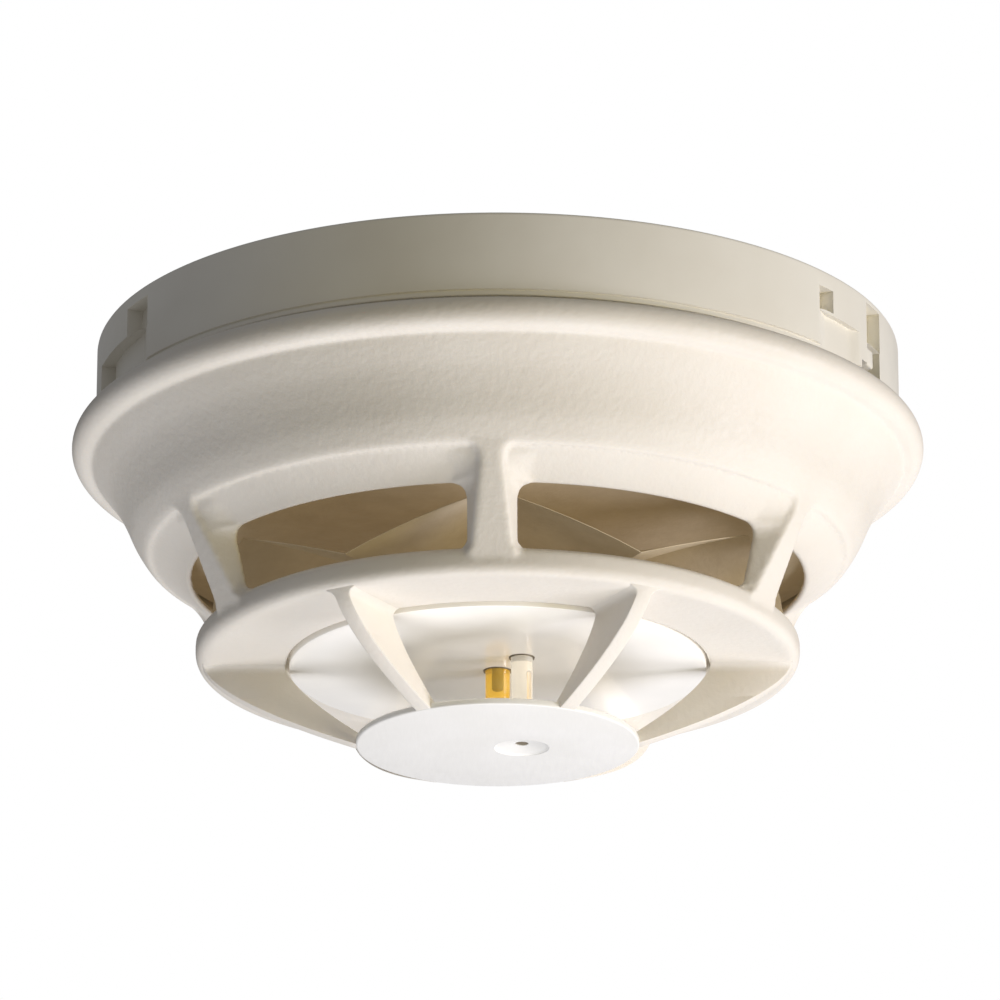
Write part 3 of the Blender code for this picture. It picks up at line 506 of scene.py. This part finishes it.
def carve(piece, cutter):
    """Cuts the cutter out of the piece and removes the cutter."""
    apply_modifier(piece, "cut", "BOOLEAN", operation="DIFFERENCE", solver="EXACT", object=cutter)
    bpy.data.objects.remove(cutter, do_unlink=True)


def fuse(piece, extra):
    """Adds the extra to the piece as one solid."""
    apply_modifier(piece, "fuse", "BOOLEAN", operation="UNION", solver="EXACT", object=extra)
    bpy.data.objects.remove(extra, do_unlink=True)


def soften(piece, angle=35):
    """Shades the piece smooth, but for edges sharper than an angle in degrees."""
    pick(piece)
    bpy.ops.object.shade_smooth_by_angle(angle=math.radians(angle))


def block(size, radius, bearing, depth, bevel=0.0):
    """A box of (tangential, radial, vertical) millimetres, turned to face along a bearing."""
    piece = start(bpy.ops.mesh.primitive_cube_add, size=1.0, location=spot(radius, bearing, depth),
                  rotation=(0.0, 0.0, math.radians(bearing)))
    piece.scale = [side * MM for side in size]
    settle(piece)
    if bevel:
        apply_modifier(piece, "edge", "BEVEL", width=bevel * MM, segments=3)
    return piece


def wedge(profile, bearing, half_angle):
    """A block that follows the round, through (radius, depth) points swept about a bearing."""
    sections = []
    steps = 24
    for step in range(steps + 1):
        share = 2.0 * step / steps - 1.0
        sections.append([spot(radius, bearing + share * half_angle, depth)
                         for radius, depth in profile])
    return web(sections)


# ------------------------------------------------------------------ outer cover

WINDOW_TOP = (47.5, 28.5)     # outer outline of a window's upper edge
HOLE_TOP = (41.0, 32.3)       # inner hole's upper edge
HOLE_BOTTOM = 40.3
RING_RADIUS = 40.4
RING_TOP = 41.0
LEDGE = 44.2
LEDGE_RADIUS = 28.2
DISC_RADIUS = 18.9
DISC_TOP = DISC_FACE - 0.9
RECESS_CENTRE = (3.2, 0.9)    # the dished recess, a little off the disc's centre


def upper_shell():
    """Bead, flared wall and the sloping lintel over the windows."""
    neck = BASE_RADIUS - 0.2
    roll = 2.1
    bead = [(neck, COVER_TOP), (neck, COVER_TOP + 0.35), (BEAD_RADIUS - 2.0, COVER_TOP + 0.5)]
    bead += arc((BEAD_RADIUS - roll, COVER_TOP + 2.6), roll, -75, 100, 18)
    wall = [(54.7, 16.35), (54.25, 17.15), (52.1, 20.0), (50.55, 22.8), (49.1, 26.0), WINDOW_TOP]
    lintel = arc((WINDOW_TOP[0] - 0.75, WINDOW_TOP[1] - 0.35), 0.75, 20, 115, 4)
    lip = arc((HOLE_TOP[0] + 0.45, HOLE_TOP[1] - 0.45), 0.45, 57, 234, 8)
    inside = [(45.7, 27.9), (47.4, 25.6), (50.6, 19.0), (51.45, 16.5), (51.45, COVER_TOP)]
    outline = bead + through(wall, 6)[:-1] + lintel + lip + inside
    return spun(outline + [outline[0]])


def lower_ring():
    """The band under the windows and the flat ledge inside it."""
    outline = [(38.9, HOLE_BOTTOM), (RING_RADIUS - 0.25, RING_TOP)]
    outline += arc((RING_RADIUS - 0.3, RING_TOP + 0.4), 0.3, -60, 0, 3)
    outline += arc((RING_RADIUS - 1.5, LEDGE - 1.5), 1.5, 0, 90, 8)
    outline += arc((LEDGE_RADIUS + 0.3, LEDGE - 0.3), 0.3, 90, 180, 4)
    outline += [(LEDGE_RADIUS, 42.2), (37.6, 42.2), (37.6, HOLE_BOTTOM)]
    return spun(outline + [outline[0]])


def rib(bearing):
    """A rib between two windows: narrow outside, wider inside, with filleted upper corners."""
    half_top, half_bottom, half_inside = 1.5, 3.0, 3.35
    round_edge, back_edge, overlap, thinnest = 0.8, 0.5, 0.8, 2.2
    lip_radius, lip_depth = HOLE_TOP
    inner_limit, foot = 39.0, 38.3
    # how far each face moves in for each millimetre down: outside, over the window, lintel, inside
    outer_slope, top_slope, lintel_slope, inner_slope = 0.52, 0.35, 1.71, 0.25
    sections = []
    depths = [26.6, 27.6, 28.3] + [28.7 + 0.4 * step for step in range(32)] + [41.6, 42.4]
    for depth in depths:
        share = (depth - WINDOW_TOP[1]) / (RING_TOP - WINDOW_TOP[1])
        outer = WINDOW_TOP[0] - outer_slope * (depth - WINDOW_TOP[1])
        if depth < WINDOW_TOP[1]:
            outer = WINDOW_TOP[0] + top_slope * (WINDOW_TOP[1] - depth)
        outer = max(outer, RING_RADIUS - 0.6)
        if depth < lip_depth:
            lintel = lip_radius + lintel_slope * (lip_depth - depth) - overlap
            inner = min(lintel, outer - thinnest)
        else:
            inner = max(inner_limit, lip_radius - inner_slope * (depth - lip_depth))
        if depth > HOLE_BOTTOM:
            inner = foot
        width = half_top + (half_bottom - half_top) * min(1.0, max(0.0, share))
        width += flare(depth - WINDOW_TOP[1], 2.4) + flare(RING_TOP - depth, 0.5)
        back = half_inside + flare(depth - lip_depth, 2.0) + flare(HOLE_BOTTOM - depth, 0.6)
        points = []
        for side in (1, -1):
            corner = [(side * (back - back_edge), inner), (side * (back - 0.12), inner + 0.15),
                      (side * back, inner + back_edge)]
            for step in range(4):
                turn = math.radians(30 * step)
                corner.append((side * (width - round_edge * (1 - math.cos(turn))),
                               outer - round_edge * (1 - math.sin(turn))))
            points += corner if side == 1 else corner[::-1]
        sections.append([beside(bearing, radius, aside, depth) for aside, radius in points])
    return web(sections)


def fin(bearing):
    """A cage fin: both edges bow in from the ledge to the disc, and its root is filleted."""
    half, edge = 1.1, 0.22
    bevel = 0.3 * edge
    top, bottom = LEDGE - 0.8, DISC_FACE - 0.12
    outer_root, outer_end, outer_bow = 39.6, DISC_RADIUS + 0.25, 1.75
    inner_root, inner_end, inner_bow = LEDGE_RADIUS + 0.2, DISC_RADIUS - 1.6, 1.45
    sections = []
    steps = 48
    for step in range(steps + 1):
        along = step / steps
        depth = top + (bottom - top) * along
        outer = outer_end + (outer_root - outer_end) * (1 - along ** outer_bow)
        below = min(1.0, max(0.0, (depth - LEDGE) / (DISC_TOP - LEDGE)))
        inner = inner_end + (inner_root - inner_end) * (1 - below ** inner_bow)
        width = half + flare(depth - LEDGE, 1.1)
        outline = []
        for side in (1, -1):
            corner = [(side * (width - edge), inner), (side * (width - bevel), inner + bevel),
                      (side * width, inner + edge), (side * width, (inner + outer) / 2),
                      (side * width, outer - edge), (side * (width - bevel), outer - bevel),
                      (side * (width - edge), outer)]
            outline += corner if side == 1 else corner[::-1]
        sections.append([beside(bearing, radius, aside, depth) for aside, radius in outline])
    return web(sections)


def join_pieces(parts):
    """Makes one object of several, without merging their surfaces."""
    pick(*parts)
    bpy.ops.object.join()
    return parts[0]


def make_cover(material):
    """One soft-edged moulding: shell, ring and ribs grown together and smoothed."""
    parts = [upper_shell(), lower_ring()]
    for bay in range(BAYS):
        parts.append(rib(bay * 360.0 / BAYS))
    cover = join_pieces(parts)
    apply_modifier(cover, "grow", "REMESH", mode="VOXEL", voxel_size=0.28 * MM)
    apply_modifier(cover, "ease", "SMOOTH", factor=0.5, iterations=9)
    apply_modifier(cover, "thin", "DECIMATE", ratio=0.27)
    soften(cover, 60)
    name_piece(cover, "moulded_cover", material)
    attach(cover, "detector_head")
    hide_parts("outer_cover")


def make_fins(material):
    """The six fins between the ledge and the disc, crisp on all their edges."""
    cage = join_pieces([fin((bay + 0.5) * 360.0 / BAYS) for bay in range(BAYS)])
    soften(cage, 40)
    name_piece(cage, "cage_fins", material)
    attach(cage, "detector_head")


def make_disc(material):
    """The flat disc under the cage, with a dished recess round a small hole."""
    rim = 0.28
    outline = [(0.0, DISC_TOP)]
    outline += arc((DISC_RADIUS - rim, DISC_TOP + rim), rim, -90, 0, 4)
    outline += arc((DISC_RADIUS - rim, DISC_FACE - rim), rim, 0, 90, 4)
    outline += [(0.0, DISC_FACE)]
    disc = spun(outline)
    above, below = DISC_TOP - 1.0, DISC_FACE + 1.0
    hole = [(0.0, above), (0.85, above), (0.9, DISC_FACE - 0.62)]
    dish = [(1.15, DISC_FACE - 0.58), (3.1, DISC_FACE - 0.24), (3.6, DISC_FACE - 0.1),
            (3.7, DISC_FACE + 0.02), (3.75, below), (0.0, below)]
    carve(disc, spun(hole + dish, 72, RECESS_CENTRE))
    soften(disc, 40)
    name_piece(disc, "lower_disc", material)
    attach(disc, "detector_head")


# ------------------------------------------------------------------ mounting base

LATCH_BEARING = 66.8
LATCH_TOP = BASE_BOTTOM - 4.5


def make_base(material):
    """The base's dish with its stepped foot, pads, pockets, latch window and slots."""
    outer, bottom = BASE_RADIUS, BASE_BOTTOM
    wall = 3.0
    cable_hole, edge = 17.0, 0.5
    floor, corner = 2.2, 0.4
    outline = [(cable_hole, BASE_TOP + 0.3), (cable_hole + 0.3, BASE_TOP), (outer - edge, BASE_TOP)]
    outline += arc((outer - edge, BASE_TOP + edge), edge, -90, 0, 4)[1:]
    outline += [(outer, bottom - 0.85), (outer - 0.3, bottom - 0.75), (outer - 0.3, bottom - 0.6),
                (outer - 0.05, bottom - 0.5)]
    outline += arc((outer - 0.2, bottom - 0.15), 0.15, 0, 90, 3)
    outline += [(outer - wall, bottom), (outer - wall, floor + corner),
                (outer - wall - corner, floor), (cable_hole, floor)]
    base = spun(outline + [outline[0]])

    root, reach = outer - wall + 0.3, outer - wall - 3.5
    hook_top, hook_low = 8.6, 10.8
    hook = [(root, hook_top), (root, hook_low), (reach, hook_low), (reach, hook_top)]
    for bearing in (0, 120, 240):
        fuse(base, wedge(hook, bearing, 7.0))
    terminal_pad = (11.0, 9.0, 3.2)
    for bearing in (45, 135, 225, 315):
        fuse(base, block(terminal_pad, 33.0, bearing, 3.6, 0.5))
    screw_slot = (9.6, 5.2, 8.0)
    for side in (-1, 1):
        carve(base, block(screw_slot, side * 30.0, 90, 1.0, 1.2))
    spring_post = (1.6, 1.2, 7.6)
    for side in (-1, 1):
        fuse(base, block(spring_post, 46.34, LATCH_BEARING + side * 5.82, 5.6))
    side_features(base, outer, bottom)
    soften(base)
    name_piece(base, "wiring_base", material)
    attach(base, "base")
    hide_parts("mounting_base")


def make_latch(material, steel):
    """The latch's button with its ears, and the bowed wire behind it, modelled at rest."""
    middle = LATCH_TOP + 1.25
    front, ears_out, back = BASE_RADIUS - 0.3, BASE_RADIUS - 3.3, BASE_RADIUS - 4.7
    latch = block((2.5, front - back, 2.5), (front + back) / 2, LATCH_BEARING, middle, 0.3)
    fuse(latch, block((7.4, 1.3, 1.25), ears_out - 0.65, LATCH_BEARING, middle, 0.2))
    soften(latch)
    name_piece(latch, "latch_button", material)
    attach(latch, "latch")
    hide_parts("locking_latch")

    wire, bow, half_length, steps = 0.35, 1.6, 5.5, 32
    crest = back - 0.3 - wire
    sections = []
    for step in range(steps + 1):
        share = 2.0 * step / steps - 1.0
        radius = crest - bow * (1 - math.cos(share * math.pi / 2))
        ring = []
        for corner in range(12):
            turn = math.radians(30 * corner)
            ring.append(beside(LATCH_BEARING, radius + wire * math.cos(turn), share * half_length,
                               middle + wire * math.sin(turn)))
        sections.append(ring)
    spring = web(sections)
    soften(spring)
    name_piece(spring, "bowed_wire_spring", steel)
    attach(spring, "base")
    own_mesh(spring)
    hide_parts("latch_spring")


def side_features(base, outer, bottom):
    """Pads, pockets, scoops and the latch's notch round the base's wall.

    Each band goes from one depth to another, through (bearing, radius left) stops.
    """
    pad_top, pad_low, notch_top = 0.9, 5.6, 6.6
    pocket, recess, scoop = outer - 2.2, outer - 1.7, outer - 0.8
    clear, through_wall = outer + 0.1, outer - 3.6

    def band(top, low, stops):
        """Cuts the wall back between two depths, easing from each stop to the next."""
        sections = []
        for (start_at, first), (end_at, last) in zip(stops, stops[1:]):
            pieces = max(1, round((end_at - start_at) / 0.8))
            for piece in range(pieces):
                share = piece / pieces
                ease = share * share * (3 - 2 * share)
                sections.append((start_at + (end_at - start_at) * share,
                                 first + (last - first) * ease))
        sections.append(stops[-1])
        carve(base, web([[spot(outer + 2, turn, top), spot(outer + 2, turn, low),
                          spot(inner, turn, low - 0.25 * (outer - inner)),
                          spot(inner, turn, top)] for turn, inner in sections]))

    band(pad_low, bottom + 2, [(-75.4, recess), (-62.0, recess), (-56.0, clear)])
    band(1.7, pad_low + 0.3, [(-63.6, pocket), (-61.2, pocket), (-56.5, clear)])
    band(pad_low - 0.1, pad_low + 3.9, [(-76.7, pocket), (-75.1, pocket)])
    band(pad_low + 0.3, bottom + 2, [(51.0, clear), (54.5, scoop), (60.5, scoop), (63.0, clear)])
    band(2.4, pad_low + 0.2, [(51.8, clear), (53.6, pocket), (55.2, pocket)])
    band(pad_top, notch_top + 0.2, [(65.0, recess), (70.2, recess)])
    band(notch_top, bottom + 2, [(65.1, through_wall), (70.0, through_wall)])
    band(9.5, bottom + 3, [(63.2, through_wall - 0.4), (66.6, through_wall - 0.4)])


# ------------------------------------------------------------------ inside the cage

def make_inner_cover(material):
    """The glossy white face, proud of the ledge by a rounded step, with two holes in it."""
    face, rim = INNER_FACE, LEDGE_RADIUS - 0.28
    edge = 0.18
    outline = [(0.0, face - 1.6), (rim - 1.4, face - 1.6), (rim - 1.4, FLANGE_TOP),
               (FLANGE_RADIUS, FLANGE_TOP), (FLANGE_RADIUS, FLANGE_TOP + 1.0),
               (rim, FLANGE_TOP + 1.0)]
    outline += arc((rim - edge, face - edge), edge, 0, 90, 6) + [(0.0, face)]
    cover = spun(outline)
    for node, ease in (("thermistor_bead", 0.3), ("light_pipe", 0.28)):
        centre, radius, _, _ = round_node(node)
        hole = radius + ease
        carve(cover, spun([(0.0, face - 4), (hole, face - 4), (hole, face + 1),
                           (0.0, face + 1)], 48, centre))
    soften(cover)
    name_piece(cover, "gloss_inner_cover", material)
    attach(cover, "detector_head")
    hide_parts("inner_cover")


def make_deflector(material):
    """The chamber's roof, its hub, and a thin vane folded into one V behind each window."""
    roof, vane_top, drop = 26.5, 31.0, 7.0
    hub, bore, root, reach = 10.6, 9.0, 10.1, 38.3
    root_thick, reach_thick = 1.15, 0.08
    low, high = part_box("air_deflector")
    rim, end = high[0] / MM, -low[2] / MM
    outline = [(rim, roof), (rim, roof + 1.2), (hub, roof + 1.2), (hub, end - 0.4),
               (hub - 0.4, end), (bore, end), (bore, roof)]
    body = spun(outline + [outline[0]], 120)
    half_bay = 180.0 / BAYS
    steps = 12 * BAYS
    sections = []
    for step in range(steps + 1):
        bearing = 360.0 * step / steps
        off_middle = abs(bearing % (2 * half_bay) - half_bay)
        depth = vane_top + drop * (1 - off_middle / half_bay)
        under = depth + root_thick
        sections.append([spot(reach, bearing, under - reach_thick), spot(reach, bearing, under),
                         spot(root, bearing, under), spot(root, bearing, depth)])
    vane = web(sections)
    pick(vane)
    bpy.ops.object.mode_set(mode="EDIT")
    bpy.ops.mesh.select_all(action="SELECT")
    bpy.ops.mesh.remove_doubles(threshold=1e-6)
    bpy.ops.mesh.delete_loose()
    bpy.ops.mesh.select_all(action="DESELECT")
    bpy.ops.mesh.select_interior_faces()
    bpy.ops.mesh.delete(type="FACE")
    bpy.ops.mesh.select_all(action="SELECT")
    bpy.ops.mesh.normals_make_consistent(inside=False)
    bpy.ops.object.mode_set(mode="OBJECT")
    deflector = join_pieces([body, vane])
    soften(deflector, 20)
    name_piece(deflector, "folded_deflector", material)
    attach(deflector, "detector_head")
    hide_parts("air_deflector")


def make_recess_shade(material):
    """Painted shade: a dark disc in the recess's hole, just inside the disc's upper side."""
    radius, upper, lower = 0.8, DISC_TOP + 0.05, DISC_TOP + 0.2
    outline = [(0.0, upper), (radius, upper), (radius, lower), (0.0, lower)]
    shade_disc = spun(outline, 48, RECESS_CENTRE)
    soften(shade_disc)
    name_piece(shade_disc, "recess_painted_shade", material)
    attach(shade_disc, "detector_head")


def make_hole_shade_rings(material):
    """Painted shade: thin dark rings round the bead and the pipe, a little proud of the inner cover,
    where the holes' shadow falls.
    """
    for node, name in (("light_pipe", "pipe_hole_shade"), ("thermistor_bead", "bead_hole_shade")):
        centre, radius, _, _ = round_node(node)
        inner, outer = radius + 0.04, radius + 0.26
        upper, lower = INNER_FACE - 0.5, INNER_FACE + 0.12
        outline = [(inner, upper), (outer, upper), (outer, lower), (inner, lower)]
        shade_ring = spun(outline + [outline[0]], 64, centre)
        soften(shade_ring)
        name_piece(shade_ring, name, material)
        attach(shade_ring, "detector_head")


def make_thermistor(dip, core):
    """A clear amber dip around a darker ceramic body on two leads."""
    _, radius, top, tip = round_node("thermistor_bead")
    outline = [(0.0, top)] + arc((radius - 0.5, top + 0.5), 0.5, -90, 0, 5)
    outline += arc((0.0, tip - radius), radius, 0, 90, 12)
    outline[-1] = (0.0, tip)
    bead = spun(outline, 64)
    soften(bead, 60)
    name_piece(bead, "amber_dip", dip)
    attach(bead, "detector_head")
    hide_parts("thermistor_bead")

    inner = 0.5
    end = tip - 2.0
    body = [(0.0, top + 0.8), (inner * 0.5, top + 0.8), (inner, top + 1.6)]
    body += arc((0.0, end - inner), inner, 0, 90, 8)
    body[-1] = (0.0, end)
    ceramic = spun(body, 32)
    soften(ceramic, 60)
    name_piece(ceramic, "ceramic_core", core)
    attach(ceramic, "detector_head")


def make_light_pipe(material):
    """A clear rod beside the bead, from the indicator down to the disc, with rounded ends."""
    centre, radius, top, end = round_node("light_pipe")
    top_edge, end_edge = 0.25, 0.3
    outline = [(0.0, top)] + arc((radius - top_edge, top + top_edge), top_edge, -90, 0, 4)
    outline += arc((radius - end_edge, end - end_edge), end_edge, 0, 90, 4) + [(0.0, end)]
    pipe = spun(outline, 64, centre)
    soften(pipe, 60)
    name_piece(pipe, "clear_light_pipe", material)
    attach(pipe, "detector_head")
    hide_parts("light_pipe")


# ------------------------------------------------------------------ the rest of the frame

def finish_frame(satin, shade_tan, grey, steel, brass, mask, epoxy, lens):
    """Gives each part that keeps its own solid its finish; the deflector's finish carries painted
    shade and a painted glow.
    """
    finishes = {"base_plastic": satin, "deflector_plastic": shade_tan, "chassis_plastic": grey,
                "plated_steel": steel, "contact_brass": brass, "board_laminate": mask,
                "package_epoxy": epoxy, "led_lens": lens}
    for entry in frame["record"]["subparts"]:
        node = frame["nodes"].get(entry["node"])
        material = finishes.get(entry["material_slot"])
        if node is None or material is None:
            continue
        for place in node.material_slots:
            place.material = material


def make_floor():
    """The room's pale floor, an ordinary storey below the ceiling."""
    floor = start(bpy.ops.mesh.primitive_plane_add, size=16.0, location=(0.0, 0.0, -2.6))
    material, tree, shader, place = new_material("pale_floor_paint", 0.7)
    tint(tree, shader, noise(tree, place, 60.0, 3.0).outputs["Fac"], "#E9E9E6", "#EFEFEC")
    name_piece(settle(floor), "floor", material)


make_camera()
make_lights()
make_floor()
satin = satin_abs()
eroded = eroded_abs()
make_cover(eroded)
make_fins(eroded)
make_disc(scuffed_abs())
make_base(satin)
zinc = rolled_metal("zinc_plated_steel", "#B9BBBD", "#D3D5D6", (0.25, 0.38))
make_latch(satin, zinc)
make_inner_cover(gloss_white())
shade_tan = shade_darkened_polymer()
make_deflector(shade_tan)
make_thermistor(amber_epoxy(), sintered_core())
make_light_pipe(clear_acrylic())
# painted shade: a dark brownish satin that stands for the shadow in the holes round the bead, the
# pipe and the recess
painted_shade = satin_abs("painted_shade_brown", "#6E6452", "#857963")
make_hole_shade_rings(painted_shade)
make_recess_shade(painted_shade)
finish_frame(satin, shade_tan, grey_polymer(), zinc,
             rolled_metal("rolled_brass", "#B8923F", "#D2AE5E", (0.2, 0.34)),
             solder_mask(), moulded_epoxy(), red_lens())
